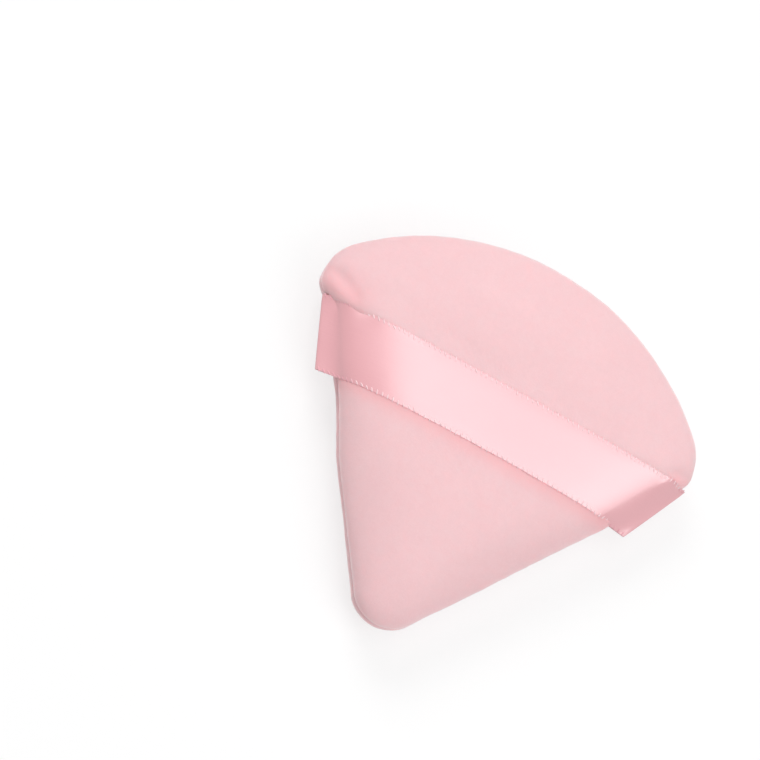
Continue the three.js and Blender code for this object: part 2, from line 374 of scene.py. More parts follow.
def seam_parting(x, y):
    """How much each cover gives way at the seam, where the seam holds the strap's tails."""
    start = RIBBON_WIDTH / 2 + SEAM_PARTING_MARGIN
    from_strap = np.abs(y - STRAP_Y - TAIL_SLIP / 2 - askew(x))
    return SEAM_PARTING * (1 - smoothstep(from_strap, start, start + SEAM_PARTING_RUN))


# Height of the pad
from_middle = outline - middle
outline_angles = np.arctan2(from_middle[:, 1], from_middle[:, 0])
outline_reach = np.linalg.norm(from_middle, axis=1)
front_equator = SEAM_HEIGHT + FOLD_RADIUS
front_rise = FRONT_TOP - front_equator


def front_height(x, y):
    """Height of the front cover's outer face over a point of the plan."""
    offset_x = x - middle[0]
    offset_y = y - middle[1]
    angle = np.arctan2(offset_y, offset_x)
    reach = np.interp(angle, outline_angles, outline_reach, period=2 * math.pi)
    share = np.minimum(1, np.hypot(offset_x, offset_y) / reach)
    return front_equator + front_rise * np.sqrt(1 - share**CROWN_POWER)


def soft_waves(x, y):
    """Slow unevenness of a stuffed pad, between about -1 and 1."""
    total = 0
    for share, rate_x, rate_y, phase in WAVES:
        total = total + share * np.sin(rate_x * x + rate_y * y + phase)
    return total


def seam_puckers(x, y, z):
    """The cloth gathers a little at the stitches and smooths out away from the seam."""
    along = np.arctan2(y - middle[1], x - middle[0]) / (2 * math.pi) * open_length
    phase = 2 * math.pi * along / PUCKER_LENGTH
    for amount, rate in PUCKER_DRIFTS:
        phase = phase + amount * np.sin(along * rate)
    return np.sin(phase) * np.exp(-np.abs(z - SEAM_HEIGHT) / PUCKER_REACH)


def strap_marks(x, y):
    """How the strap presses the front in at its shoulders, and how the velour swells beside it."""
    strap_y = STRAP_Y + askew(x)
    above = y - strap_y - RIBBON_WIDTH / 2
    below = strap_y - RIBBON_WIDTH / 2 - y
    pressed = smoothstep(-np.maximum(above, below), *PRESS_RAMP)
    swollen = bump(above - BULGE_FROM_EDGE, BULGE_REACH)
    swollen += LOWER_BULGE_SHARE * bump(below - BULGE_FROM_EDGE, BULGE_REACH)
    shoulder = smoothstep(np.abs(x), *SHOULDER_X)
    beside = shoulder * (BULGE_HEIGHT * swollen - PRESS_DEPTH * pressed)
    lip = smoothstep(-x, *LIP_X) * smoothstep(above, *LIP_RISE) * (1 - smoothstep(above, *LIP_FALL))
    roll = bump(np.hypot(x - ROLL[0], y - ROLL[1]), ROLL_REACH)
    creased = sum(bump(segment_distance(x, y, *crease), CREASE_REACH) for crease in CREASES)
    return beside + LIP_HEIGHT * lip + ROLL_HEIGHT * roll - CREASE_DEPTH * creased


def pressed_pile_and_painted_shade(x, y):
    """1 where the strap lies on the pile, fading out past its edges as a painted shadow, furthest below
    the lower one, with painted shade in two hollows.
    """
    above = y - STRAP_Y - askew(x)
    fade = np.where(above > 0, PRESSED_AND_SHADOW_FADE[1], PRESSED_AND_SHADOW_FADE[0])
    pressed = 1 - smoothstep(np.abs(above), RIBBON_WIDTH / 2 - PRESSED_MARGIN, RIBBON_WIDTH / 2 + fade)
    for start, end, reach in SHADED_HOLLOWS:
        hollow_shade = bump(segment_distance(x, y, start, end), reach)
        pressed = np.maximum(pressed, HOLLOW_SHADE_SHARE * hollow_shade)
    return pressed


def under_strap(x, y):
    """1 where the strap holds the front cover down, and 0 away from it."""
    from_strap = np.abs(y - STRAP_Y - askew(x))
    start = RIBBON_WIDTH / 2 + HELD_MARGIN
    return 1 - smoothstep(from_strap, start, start + HELD_RUN)


# Meshes
def make_piece(name, points, faces, materials):
    """A smooth mesh object from points in millimetres."""
    mesh = bpy.data.meshes.new(name)
    mesh.from_pydata((np.asarray(points) * MM).tolist(), [], faces)
    mesh.update()
    mesh.shade_smooth()
    for material in materials:
        mesh.materials.append(material)
    piece = bpy.data.objects.new(name, mesh)
    scene.collection.objects.link(piece)
    return piece


def add_attribute(mesh, name, values):
    mesh.attributes.new(name, "FLOAT", "POINT").data.foreach_set("value", values)


def turned_over(faces):
    return [face[::-1] for face in faces]


def loft(rings, tip):
    """Points and faces of closed rings of equal counts, with a fan from a tip to the first ring."""
    count = len(rings[0])
    points = np.concatenate([*rings, [tip]])
    centre = len(points) - 1
    faces = []
    for i in range(count):
        after = (i + 1) % count
        faces.append((centre, i, after))
        for k in range(len(rings) - 1):
            a = k * count
            b = a + count
            faces.append((a + i, b + i, b + after, a + after))
    return points, faces


def ring(inset, share, height, loop=outline):
    """One loop round the pad, drawn in by a distance, then shrunk towards the middle by a share."""
    flat = middle + (drawn_in(loop, inset) - middle) * share
    return np.column_stack([flat, np.broadcast_to(height, len(flat))])


def crown_steps():
    """Each crown ring's share of the way out and height from 0 to 1, evenly spaced along the crown."""
    turn = np.linspace(math.pi / 2, 0, PROFILE_POINTS)
    profile = np.stack([np.cos(turn) ** (2 / CROWN_POWER), np.sin(turn)], axis=1)
    along = distances_along(profile * (PROFILE_REACH, front_rise))
    return sampled(np.linspace(0, along[-1], CROWN_RINGS + 1)[1:], along, profile)


def fold_rings(equator, seam, sign):
    """The rounded fold from the equator to the seam, and the allowance turned in behind it."""
    rings = []
    for turn in np.linspace(0, math.pi / 2, FOLD_RINGS + 1)[1:]:
        inset = FOLD_RADIUS * (1 - math.cos(turn))
        rings.append(ring(inset, 1, equator + (seam - equator) * math.sin(turn)))
    turned_in = seam + sign * SEAM_GAP / 2
    rings.append(ring(FOLD_RADIUS + SEAM_GAP / 2, 1, turned_in))
    rings.append(ring(FOLD_RADIUS + SEAM_ALLOWANCE, 1, turned_in))
    return rings


def outward(grid):
    """Unit normals of rings of points, pointing up where the rings widen downwards."""
    across = np.gradient(grid, axis=0)
    around = np.roll(grid, -1, axis=1) - np.roll(grid, 1, axis=1)
    return unit(np.cross(across, around))


# Covers
def swollen_cloth(points, faces, held):
    """Moves of a cover's points when its filling presses the cloth out and the held points stay."""
    piece = make_piece("swelling", points, faces, [])
    group = piece.vertex_groups.new(name="held")
    for index, weight in enumerate(held):
        group.add([index], float(weight), "REPLACE")
    cloth = piece.modifiers.new("Cloth", "CLOTH")
    cloth.settings.mass = SIM_VERTEX_MASS
    cloth.settings.tension_stiffness = SIM_STIFFNESS
    cloth.settings.compression_stiffness = SIM_STIFFNESS
    cloth.settings.shear_stiffness = SIM_BEND_STIFFNESS
    cloth.settings.bending_stiffness = SIM_BEND_STIFFNESS
    cloth.settings.vertex_group_mass = group.name
    cloth.settings.use_pressure = True
    cloth.settings.uniform_pressure_force = SIM_PRESSURE
    cloth.settings.effector_weights.gravity = 0
    cloth.point_cache.frame_end = SIM_FRAMES
    for step in range(1, SIM_FRAMES + 1):
        scene.frame_set(step)
    result = piece.evaluated_get(bpy.context.evaluated_depsgraph_get()).data
    reached = np.empty(3 * len(points))
    result.vertices.foreach_get("co", reached)
    bpy.data.objects.remove(piece)
    scene.frame_set(1)
    moves = reached.reshape(-1, 3) / MM - points
    length = np.linalg.norm(moves, axis=1, keepdims=True)
    return moves * (SWELL_CAP * np.tanh(length / SWELL_CAP) / np.maximum(length, LEAST_MOVE))


def spread_out(moves, rings, ring_count):
    """Moves given for some points of some rings, and last for the tip, spread over all points."""
    columns = OUTLINE_POINTS // SIM_POINT_STEP
    tip_row = np.broadcast_to(moves[-1], (1, columns, 3))
    coarse = np.concatenate([tip_row, moves[:-1].reshape(-1, columns, 3)])
    given = np.concatenate([[-1], rings])
    every_ring = np.arange(ring_count)
    rows = np.stack([sampled(every_ring, given, coarse[:, k]) for k in range(columns)], axis=1)
    around = np.arange(OUTLINE_POINTS)
    fine = np.array([sampled(around, around[::SIM_POINT_STEP], row, OUTLINE_POINTS) for row in rows])
    shifts = range(-SIM_POINT_STEP, SIM_POINT_STEP + 1)
    fine = sum(np.roll(fine, shift, axis=1) for shift in shifts) / len(shifts)
    padded = np.pad(fine, ((SIM_RING_STEP, SIM_RING_STEP), (0, 0), (0, 0)), mode="edge")
    window = 2 * SIM_RING_STEP + 1
    return sum(padded[k : k + ring_count] for k in range(window)) / window


def swelling(grid, tip, held, flipped):
    """The simulated moves for all points of a cover's rings, and for its tip. The fold stays."""
    seam_ring = len(grid) - 1 - TURNED_IN_RINGS
    held[seam_ring + 1 - FOLD_RINGS :] = 1
    rings = np.append(np.arange(SIM_RING_STEP - 1, seam_ring, SIM_RING_STEP), seam_ring)
    points, faces = loft(list(grid[rings, ::SIM_POINT_STEP]), tip)
    if flipped:
        faces = turned_over(faces)
    weights = held[rings, ::SIM_POINT_STEP].ravel()
    moves = swollen_cloth(points, faces, np.append(weights, held[0].mean()))
    fine = spread_out(moves, rings, len(grid))
    fine[seam_ring:] = 0
    return fine, fine[0].mean(axis=0)


def front_cover():
    parting = seam_parting(*outline.T)
    equator = front_equator + parting
    rings = []
    for share, rise in crown_steps():
        rings.append(ring(0, share, equator + (FRONT_TOP - equator) * rise))
    rings += fold_rings(equator, SEAM_HEIGHT + parting, 1)
    grid = np.array(rings)
    x, y, z = np.moveaxis(grid, 2, 0)
    shown = smoothstep(z, SEAM_HEIGHT + SEAM_GAP / 2, SEAM_HEIGHT + FOLD_RADIUS)
    moved = WAVE_HEIGHT * soft_waves(x, y) + strap_marks(x, y)
    moved = shown * (moved + PUCKER_HEIGHT * seam_puckers(x, y, z))
    tip = np.array([*middle, FRONT_TOP + WAVE_HEIGHT * soft_waves(*middle)])
    swell, tip_swell = swelling(grid, tip, under_strap(x, y), flipped=False)
    grid += outward(grid) * moved[..., None] + swell
    points, faces = loft(list(grid), tip + tip_swell)
    piece = make_piece("velour_front", points, faces, [velour])
    # The 'pressed' attribute marks pile pressed under the strap, a painted shadow below the strap and
    # painted shade in two hollows
    add_attribute(piece.data, "pressed", pressed_pile_and_painted_shade(*points.T[:2]))
    return piece


def back_cover():
    equator = SEAM_HEIGHT - FOLD_RADIUS
    rings = []
    for share in np.linspace(0, 1, BACK_RINGS)[1:]:
        rings.append(ring(BACK_EDGE_ROUND, share, 0, back_outline))
    for turn in np.linspace(math.pi / 2, 0, 2 * BACK_RINGS + 1)[1:]:
        inset = BACK_EDGE_ROUND * (1 - math.cos(turn))
        loop = back_outline + (outline - back_outline) * math.cos(turn) ** BACK_BLEND_POWER
        rings.append(ring(inset, 1, equator * (1 - math.sin(turn)), loop))
    rings += fold_rings(equator, SEAM_HEIGHT - seam_parting(*outline.T), -1)
    grid = np.array(rings)
    x, y, z = np.moveaxis(grid, 2, 0)
    shown = smoothstep(z, 0, equator) * smoothstep(-z, -SEAM_HEIGHT + SEAM_GAP / 2, -equator)
    tip = np.array([*middle, 0])
    swell, tip_swell = swelling(grid, tip, 1 - smoothstep(z, *FLOOR_HOLD), flipped=True)
    grid += swell - outward(grid) * (shown * PUCKER_HEIGHT * seam_puckers(x, y, z))[..., None]
    points, faces = loft(list(grid), tip + tip_swell)
    return make_piece("velour_back", points, turned_over(faces), [velour])


# Filling
def sponge_filling():
    """The sponge inside the covers, cut in round the turned-in seam allowances."""
    rings = []
    for share, rise in crown_steps():
        height = front_equator + rise * front_rise - SPONGE_INSET
        if height > SEAM_HEIGHT + SPONGE_WAIST_HEIGHT:
            rings.append(ring(SPONGE_INSET, share, height))
    for sign in (1, -1):
        rings.append(ring(SPONGE_WAIST, 1, SEAM_HEIGHT + sign * SPONGE_WAIST_HEIGHT))
    equator = SEAM_HEIGHT - FOLD_RADIUS
    for turn in np.linspace(0, math.pi / 2, BACK_RINGS):
        height = SPONGE_INSET + (equator - SPONGE_INSET) * (1 - math.sin(turn))
        if height < SEAM_HEIGHT - SPONGE_WAIST_HEIGHT:
            rings.append(ring(SPONGE_INSET + BACK_EDGE_ROUND * (1 - math.cos(turn)), 1, height))
    points, faces = loft(rings, (*middle, FRONT_TOP - SPONGE_INSET))
    below = len(points)
    points = np.concatenate([points, [(*middle, SPONGE_INSET)]])
    first = (len(rings) - 1) * OUTLINE_POINTS
    for i in range(OUTLINE_POINTS):
        faces.append((below, first + (i + 1) % OUTLINE_POINTS, first + i))
    return make_piece("sponge_filling", points, faces, [foam])


# Ribbon
def pad_height(x, y, side):
    """Height of the uneven front under the ribbon, at a distance x to one side."""
    skewed = y + askew(side * x)
    return front_height(side * x, skewed) + WAVE_HEIGHT * soft_waves(side * x, skewed)


def rise_at(x, across, side):
    """Height of the ribbon over the pad. Its edges droop, and on the left the upper one sinks in."""
    left = -side * x
    sunk = EDGE_SINK * across**EDGE_SINK_POWER * smoothstep(left, *EDGE_SINK_X)
    sunk = sunk * (1 - smoothstep(left, *EDGE_FREE_X))
    return RIBBON_RISE - EDGE_DROOP * (2 * across - 1) ** EDGE_DROOP_POWER - sunk


def middle_lane(y, across, side):
    """A lane's points (distance to the side, height) where the fingers go under the strap."""
    x = np.linspace(-FINGER_SPAN / 2, FINGER_SPAN / 2, MIDDLE_STATIONS)
    return np.stack([x, pad_height(x, y, side) + rise_at(x, across, side)], axis=1)


def shoulder_line(y, across, side, leave_x):
    """A lane's points from the end of the strap's middle to where it leaves the pad."""
    start = FINGER_SPAN / 2
    x = start + (leave_x - start) * np.sin(np.linspace(0, math.pi / 2, SHOULDER_STATIONS))
    over = np.stack([x, pad_height(x, y, side)], axis=1)
    rise = rise_at(x, across, side)
    shoulder = over + unit(turned_left(np.gradient(over, axis=0))) * rise[:, None]
    shoulder[0] = (start, over[0, 1] + rise[0])
    return shoulder


def bezier(a, b, c, d, count):
    """Points on a curve from a towards b, and from c to d, without the first one."""
    t = np.linspace(0, 1, count + 1)[1:, None]
    return a * (1 - t) ** 3 + 3 * b * t * (1 - t) ** 2 + 3 * c * t**2 * (1 - t) + d * t**3


def end_lane(y, across, side):
    """A lane's points (distance to the side, height): over the shoulder, to the fold, to the seam."""
    edge_x = reach_at(outline, y, side)
    shoulder = shoulder_line(y, across, side, edge_x * LEAVING_SHARE[side])
    lower_flare, upper_flare = STRAP_FLARE[side]
    lower_height, upper_height = FOLD_HEIGHT[side]
    fold = np.array([
        reach_at(plain_outline, y, side) + lower_flare + (upper_flare - lower_flare) * across,
        SEAM_HEIGHT + lower_height + (upper_height - lower_height) * across,
    ])
    run, drop = fold - shoulder[-1]
    fold_slope = FLARE_EASE * math.atan2(-drop, run)
    reach = math.hypot(run, drop) / 3
    leaving = unit(shoulder[-1] - shoulder[-2])
    arriving = np.array([math.cos(fold_slope), -math.sin(fold_slope)])
    sag = EDGE_SAG[side] * (1 - across) ** SAG_POWER - EDGE_LIFT[side] * across**SAG_POWER
    above_pad = shoulder[-1] + leaving * reach - (0, sag)
    above_tail = fold - arriving * reach - (0, sag)
    flare = bezier(shoulder[-1], above_pad, above_tail, fold, FLARE_STATIONS)
    turn = np.linspace(math.pi / 2 - fold_slope, -math.pi / 2, BEND_STATIONS)[1:]
    centre = fold - FOLD_BEND * turned_left(arriving)
    bend = centre + FOLD_BEND * np.stack([np.cos(turn), np.sin(turn)], axis=1)
    tail = np.stack([edge_x - np.array(TAIL_INSETS), SEAM_HEIGHT + np.array(TAIL_HEIGHTS)], axis=1)
    return np.concatenate([shoulder, flare, bend, tail])


def ribbon_lanes(lane_at, side, sewn_in):
    """The ribbon's upper and lower face as lanes of points, from its lower edge to its upper one."""
    lanes = []
    for across in np.linspace(0, 1, LANES):
        y = STRAP_Y + (across - 0.5) * RIBBON_WIDTH
        lane = lane_at(y, across, side)
        normal = unit(turned_left(np.gradient(lane, axis=0)))
        both_faces = []
        for offset in (RIBBON_THICKNESS / 2, -RIBBON_THICKNESS / 2):
            at = lane + normal * offset
            x = side * at[:, 0]
            spread = FOLD_SPREAD * (2 * across - 1) * smoothstep(np.abs(x), *SPREAD_X)
            skew = askew(x)
            if sewn_in:
                tail = len(TAIL_INSETS)
                skew[-tail:] += TAIL_SLIP * np.arange(1, tail + 1) / tail
            both_faces.append(np.column_stack([x, y + skew + spread, at[:, 1]]))
        lanes.append(both_faces)
    return np.array(lanes)


def ribbon_faces(stations):
    """Mesh faces of a ribbon whose points are listed by lane, then by upper and lower face."""
    indices = np.arange(LANES * 2 * stations).reshape(LANES, 2, stations)
    upper, lower = indices.swapaxes(0, 1).tolist()
    faces = []
    for k in range(stations - 1):
        for i in range(LANES - 1):
            faces.append((upper[i][k], upper[i][k + 1], upper[i + 1][k + 1], upper[i + 1][k]))
            faces.append((lower[i][k], lower[i + 1][k], lower[i + 1][k + 1], lower[i][k + 1]))
        faces.append((upper[0][k], lower[0][k], lower[0][k + 1], upper[0][k + 1]))
        faces.append((upper[-1][k], upper[-1][k + 1], lower[-1][k + 1], lower[-1][k]))
    for i in range(LANES - 1):
        faces.append((upper[i][0], upper[i + 1][0], lower[i + 1][0], lower[i][0]))
        faces.append((upper[i][-1], lower[i][-1], lower[i + 1][-1], upper[i + 1][-1]))
    return faces


def capsules(centres, along, up, half_length, radius, flatness=1):
    """Points and faces of short round-ended threads, one at each centre, flattened towards up."""
    angles = np.linspace(0, 2 * math.pi, CAPSULE_SIDES, endpoint=False)
    points = []
    faces = []
    for centre, a, u, b in zip(centres, unit(along), unit(up), unit(np.cross(up, along))):
        first = len(points)
        points.append(centre - a * half_length)
        for turn in CAPSULE_TURNS:
            reach = radius * math.cos(turn)
            for angle in angles:
                offset = b * math.cos(angle) * reach + u * math.sin(angle) * reach * flatness
                points.append(centre + a * half_length * math.sin(turn) + offset)
        points.append(centre + a * half_length)
        last = len(points) - 1
        for i in range(CAPSULE_SIDES):
            after = (i + 1) % CAPSULE_SIDES
            faces.append((first, first + 1 + after, first + 1 + i))
            for k in range(len(CAPSULE_TURNS) - 1):
                row = first + 1 + k * CAPSULE_SIDES
                above = row + CAPSULE_SIDES
                faces.append((row + i, row + after, above + after, above + i))
            faces.append((last, last - CAPSULE_SIDES + i, last - CAPSULE_SIDES + after))
    return np.array(points), faces


def selvedge_loops(edge, beside, shaded_run):
    """Weft loops that slant over an edge of the ribbon's upper face, and for their points a share that
    is 0 where shade is painted on them near the fold.
    """
    along = distances_along(edge)
    count = round(along[-1] / LOOP_PITCH)
    number = np.arange(count)
    at = (number + 0.5) * along[-1] / count
    sign = np.sign(beside[0, 1])
    tangent = unit(np.gradient(edge, axis=0))
    tangent *= np.sign(tangent[0, 0])
    up_at = sampled(at, along, np.cross(tangent, beside) * sign)
    beside_at = sampled(at, along, beside)
    slant = LOOP_SLANT + LOOP_UNEVENNESS * np.sin(LOOP_SLANT_RATE * number + edge[0, 0])
    lean = np.sin(slant)[:, None] * beside_at
    lean -= sign * np.cos(slant)[:, None] * sampled(at, along, tangent)
    inset = LOOP_INSET + LOOP_STRAY * np.sin(LOOP_STRAY_RATE * number + edge[0, 0])
    centres = sampled(at, along, edge) - inset[:, None] * beside_at + LOOP_RISE * up_at
    points, faces = capsules(centres, lean, up_at, LOOP_HALF_LENGTH, LOOP_RADIUS, LOOP_FLATNESS)
    unshaded = smoothstep(along[-1] - at, shaded_run - SHADED_LOOP_FADE, shaded_run + SHADED_LOOP_FADE)
    return points, faces, np.repeat(unshaded, len(points) // count)


def ribbon(name, lane_at, side=RIGHT, bare_stations=0):
    """A stretch of satin ribbon with looped edges, and the longest and the mean length of its lanes."""
    lanes = ribbon_lanes(lane_at, side, bare_stations > 0)
    stations = lanes.shape[2]
    lengths = np.array([distances_along(lane) for lane in lanes[:, 0]])
    points = lanes.reshape(-1, 3)
    faces = ribbon_faces(stations)
    if side == LEFT:
        faces = turned_over(faces)
    satin_faces = len(faces)
    across = np.repeat(np.linspace(0, RIBBON_WIDTH, LANES), 2 * stations)
    lay = np.column_stack([across, np.repeat(lengths, 2, axis=0).ravel()])
    unshaded = np.zeros(len(points))
    looped = stations - bare_stations
    # Loops near the folds get a painted shade, over these runs from the fold
    shaded_runs = SHADED_LOOP_RUN[side] if bare_stations else (-SHADED_LOOP_FADE, -SHADED_LOOP_FADE)
    for edge_lane, inner_lane, shaded_run in zip((0, -1), (1, -2), shaded_runs):
        edge = lanes[edge_lane, 0, :looped]
        beside = unit(edge - lanes[inner_lane, 0, :looped])
        loop_points, loop_faces, loop_unshaded = selvedge_loops(edge, beside, shaded_run)
        faces += [tuple(len(points) + corner for corner in face) for face in loop_faces]
        points = np.concatenate([points, loop_points])
        lay = np.concatenate([lay, loop_points[:, :2]])
        unshaded = np.concatenate([unshaded, loop_unshaded])
    piece = make_piece(name, points, faces, [satin, selvedge])
    mesh = piece.data
    on_loops = np.arange(len(faces)) >= satin_faces
    mesh.polygons.foreach_set("material_index", on_loops.astype(np.int32))
    mesh.set_sharp_from_angle(angle=SHARP_ANGLE)
    add_attribute(mesh, "unshaded", unshaded)
    corners = np.empty(len(mesh.loops), np.int32)
    mesh.loops.foreach_get("vertex_index", corners)
    mesh.uv_layers.new(name="lay").data.foreach_set("uv", lay[corners].ravel())
    return piece, lengths[:, -1].max() * MM, lengths[:, -1].mean() * MM


# Stitches
def stitch_places(start, end, inset):
    """Places in the seam between two distances along the outline, and the directions along it."""
    loop = closed(outline)
    along = distances_along(loop)
    count = round((end - start) / STITCH_PITCH)
    at = start + (np.arange(count) + 0.5) * (end - start) / count
    flat = sampled(at % outline_length, along, loop)
    ahead = sampled((at + STITCH_AHEAD) % outline_length, along, loop)
    level = np.zeros(count)
    places = np.column_stack([drawn_in(flat, inset), level + SEAM_HEIGHT])
    return places, np.column_stack([ahead - flat, level])


def stitches(name, start, end, inset, half_length, across_seam):
    """A row of stitches that lie along the seam, or lean a little as they cross it."""
    centres, directions = stitch_places(start, end, inset)
    up = np.broadcast_to((0.0, 0.0, 1.0), centres.shape)
    if across_seam:
        directions, up = up + LADDER_LEAN * unit(directions), directions
    points, faces = capsules(centres, directions, up, half_length, STITCH_RADIUS)
    return make_piece(name, points, faces, [thread])


# Colours, given for the deep and the pale end of a material's shades
VELOUR_SHADES = ((0.853, 0.535, 0.556, 1), (0.894, 0.58, 0.6, 1))
# Deep pink of pressed pile, also used as painted shadow below the strap and painted shade in hollows
VELOUR_PRESSED_AND_SHADED = (0.925, 0.462, 0.484, 1)
VELOUR_SHEEN = (1, 0.95, 0.955, 1)
SATIN_SHADES = ((0.675, 0.272, 0.305, 1), (0.705, 0.302, 0.335, 1))
SELVEDGE_SHADES = ((0.84, 0.55, 0.575, 1), (0.93, 0.69, 0.715, 1))
# Painted shade on the weft loops where the ribbon turns down at its ends
SELVEDGE_PAINTED_SHADE = (0.78, 0.4, 0.45, 1)
THREAD_SHADES = ((0.72, 0.33, 0.37, 1), (0.88, 0.52, 0.55, 1))
FOAM_SHADES = ((0.66, 0.58, 0.48, 1), (0.94, 0.88, 0.8, 1))
FLOOR_COLOUR = (0.93, 0.93, 0.93, 1)
WHITE = (1, 1, 1, 1)

# The range that most of a noise keeps to
NOISE_RANGE = (0.3, 0.7)
# Where the wall of a sponge's cell starts and ends, from the cell's middle
FOAM_WALL = (0.1, 0.6)
SATIN_ROUGHNESS = (0.35, 0.42)
# Warp threads and the floats on them, for each millimetre across and along the ribbon
LONG_THREADS = (7, 0.16, 1)
SHORT_FLOATS = (8, 1.6, 1)

# Numbers of a colour mix's sockets, because the node has several of each name
MIX_SHARE = 0
MIX_FIRST = 6
MIX_SECOND = 7
MIX_RESULT = 2


# Shader nodes
def add_node(tree, kind, inputs=None, **settings):
    """A shader node. An input's value is a number, a colour or another node's output."""
    made = tree.nodes.new(f"ShaderNode{kind}")
    for key, value in settings.items():
        setattr(made, key, value)
    for key, value in (inputs or {}).items():
        if isinstance(value, bpy.types.NodeSocket):
            tree.links.new(value, made.inputs[key])
        else:
            made.inputs[key].default_value = value
    return made


def new_material(name, **constants):
    """A material, its node tree and its shader, with constants set on the shader's own sockets."""
    material = bpy.data.materials.new(name)
    material.use_nodes = True
    tree = material.node_tree
    shader = tree.nodes["Principled BSDF"]
    for key, value in constants.items():
        shader.inputs[key.replace("_", " ")].default_value = value
    return material, tree, shader


def noise(tree, place, scale, detail=2, roughness=0.5, distortion=0):
    inputs = {
        "Vector": place, "Scale": scale, "Detail": detail,
        "Roughness": roughness, "Distortion": distortion,
    }
    return add_node(tree, "TexNoise", inputs).outputs["Fac"]


def math_node(tree, operation, a, b):
    return add_node(tree, "Math", {0: a, 1: b}, operation=operation).outputs[0]


def weighted(tree, *terms):
    """The sum of (output, weight) terms."""
    total = 0
    for output, weight in terms:
        total = math_node(tree, "ADD", math_node(tree, "MULTIPLY", output, weight), total)
    return total


def mixed_colour(tree, share, first, second):
    """A mix of two colours, each of them given or another node's output."""
    inputs = {MIX_SHARE: share, MIX_FIRST: first, MIX_SECOND: second}
    return add_node(tree, "Mix", inputs, data_type="RGBA").outputs[MIX_RESULT]


def ranged(tree, value, source, target=(0, 1)):
    """A value moved from one range to another."""
    inputs = {
        "Value": value, "From Min": source[0], "From Max": source[1],
        "To Min": target[0], "To Max": target[1],
    }
    return add_node(tree, "MapRange", inputs).outputs["Result"]


def attribute(tree, name):
    return add_node(tree, "Attribute", attribute_name=name).outputs["Fac"]


def painted(tree, shader, socket, output):
    tree.links.new(output, shader.inputs[socket])


def bumped(tree, shader, height, strength, distance):
    inputs = {"Height": height, "Strength": strength, "Distance": distance}
    painted(tree, shader, "Normal", add_node(tree, "Bump", inputs).outputs["Normal"])


# Materials
def velour_material():
    """Short upright pile: fine grain, tufts that lean together, broad brushed patches, and a deeper
    pink for pressed pile and painted shade.
    """
    material, tree, shader = new_material(
        "velour", Roughness=1, Specular_IOR_Level=0.1,
        Sheen_Weight=1, Sheen_Roughness=0.36, Sheen_Tint=VELOUR_SHEEN,
        Subsurface_Weight=0.3, Subsurface_Scale=0.003, Subsurface_Radius=(1, 0.35, 0.38),
    )
    place = add_node(tree, "TexCoord").outputs["Object"]
    pile = noise(tree, place, scale=3600, detail=3, roughness=0.6)
    tufts = noise(tree, place, scale=900, distortion=0.4)
    brushed = noise(tree, place, scale=70, roughness=0.4, distortion=0.6)
    shade = ranged(tree, weighted(tree, (pile, 0.45), (tufts, 0.3), (brushed, 0.25)), NOISE_RANGE)
    upright = mixed_colour(tree, shade, *VELOUR_SHADES)
    # Deeper pink under the strap, with a painted shadow below it and painted shade in two hollows
    colour = mixed_colour(tree, attribute(tree, "pressed"), upright, VELOUR_PRESSED_AND_SHADED)
    painted(tree, shader, "Base Color", colour)
    relief = weighted(tree, (pile, 0.6), (tufts, 0.4))
    bumped(tree, shader, relief, strength=0.16, distance=0.0003)
    return material


def satin_material():
    """Warp threads floating along the ribbon, with fine slubs and an uneven shine."""
    material, tree, shader = new_material("satin", IOR=1.91, Specular_IOR_Level=1, Anisotropic=0.35)
    tangent = add_node(tree, "Tangent", direction_type="UV_MAP", uv_map="lay").outputs["Tangent"]
    painted(tree, shader, "Tangent", tangent)
    lay = add_node(tree, "UVMap", uv_map="lay").outputs["UV"]
    long_threads = add_node(tree, "Mapping", {"Vector": lay, "Scale": LONG_THREADS}).outputs["Vector"]
    short_floats = add_node(tree, "Mapping", {"Vector": lay, "Scale": SHORT_FLOATS}).outputs["Vector"]
    streaks = noise(tree, long_threads, scale=1, detail=3, roughness=0.6)
    floats = noise(tree, short_floats, scale=1, detail=1)
    patches = noise(tree, lay, scale=0.12)
    shade = ranged(tree, weighted(tree, (streaks, 0.5), (floats, 0.3), (patches, 0.2)), NOISE_RANGE)
    painted(tree, shader, "Base Color", mixed_colour(tree, shade, *SATIN_SHADES))
    painted(tree, shader, "Roughness", ranged(tree, streaks, NOISE_RANGE, SATIN_ROUGHNESS))
    relief = weighted(tree, (streaks, 0.5), (floats, 0.5))
    bumped(tree, shader, relief, strength=0.2, distance=0.0001)
    return material


def twisted_thread(name, shades, roughness, painted_shade=None):
    """Spun thread: plies wind round it. A painted shade colour, if given, shows where the mesh marks
    the thread as shaded.
    """
    material, tree, shader = new_material(
        name, Roughness=roughness, Sheen_Weight=0.2, Specular_IOR_Level=0.4,
    )
    place = add_node(tree, "TexCoord").outputs["Object"]
    plies = add_node(
        tree, "TexWave", {"Vector": place, "Scale": 900, "Distortion": 1.5, "Detail": 1},
        bands_direction="DIAGONAL",
    ).outputs["Fac"]
    fibres = noise(tree, place, scale=6000, roughness=0.6)
    shade = weighted(tree, (plies, 0.6), (fibres, 0.4))
    colour = mixed_colour(tree, shade, *shades)
    if painted_shade:
        # Painted shade on the loops near the ribbon's folds
        colour = mixed_colour(tree, attribute(tree, "unshaded"), painted_shade, colour)
    painted(tree, shader, "Base Color", colour)
    bumped(tree, shader, shade, strength=0.3, distance=0.0001)
    return material


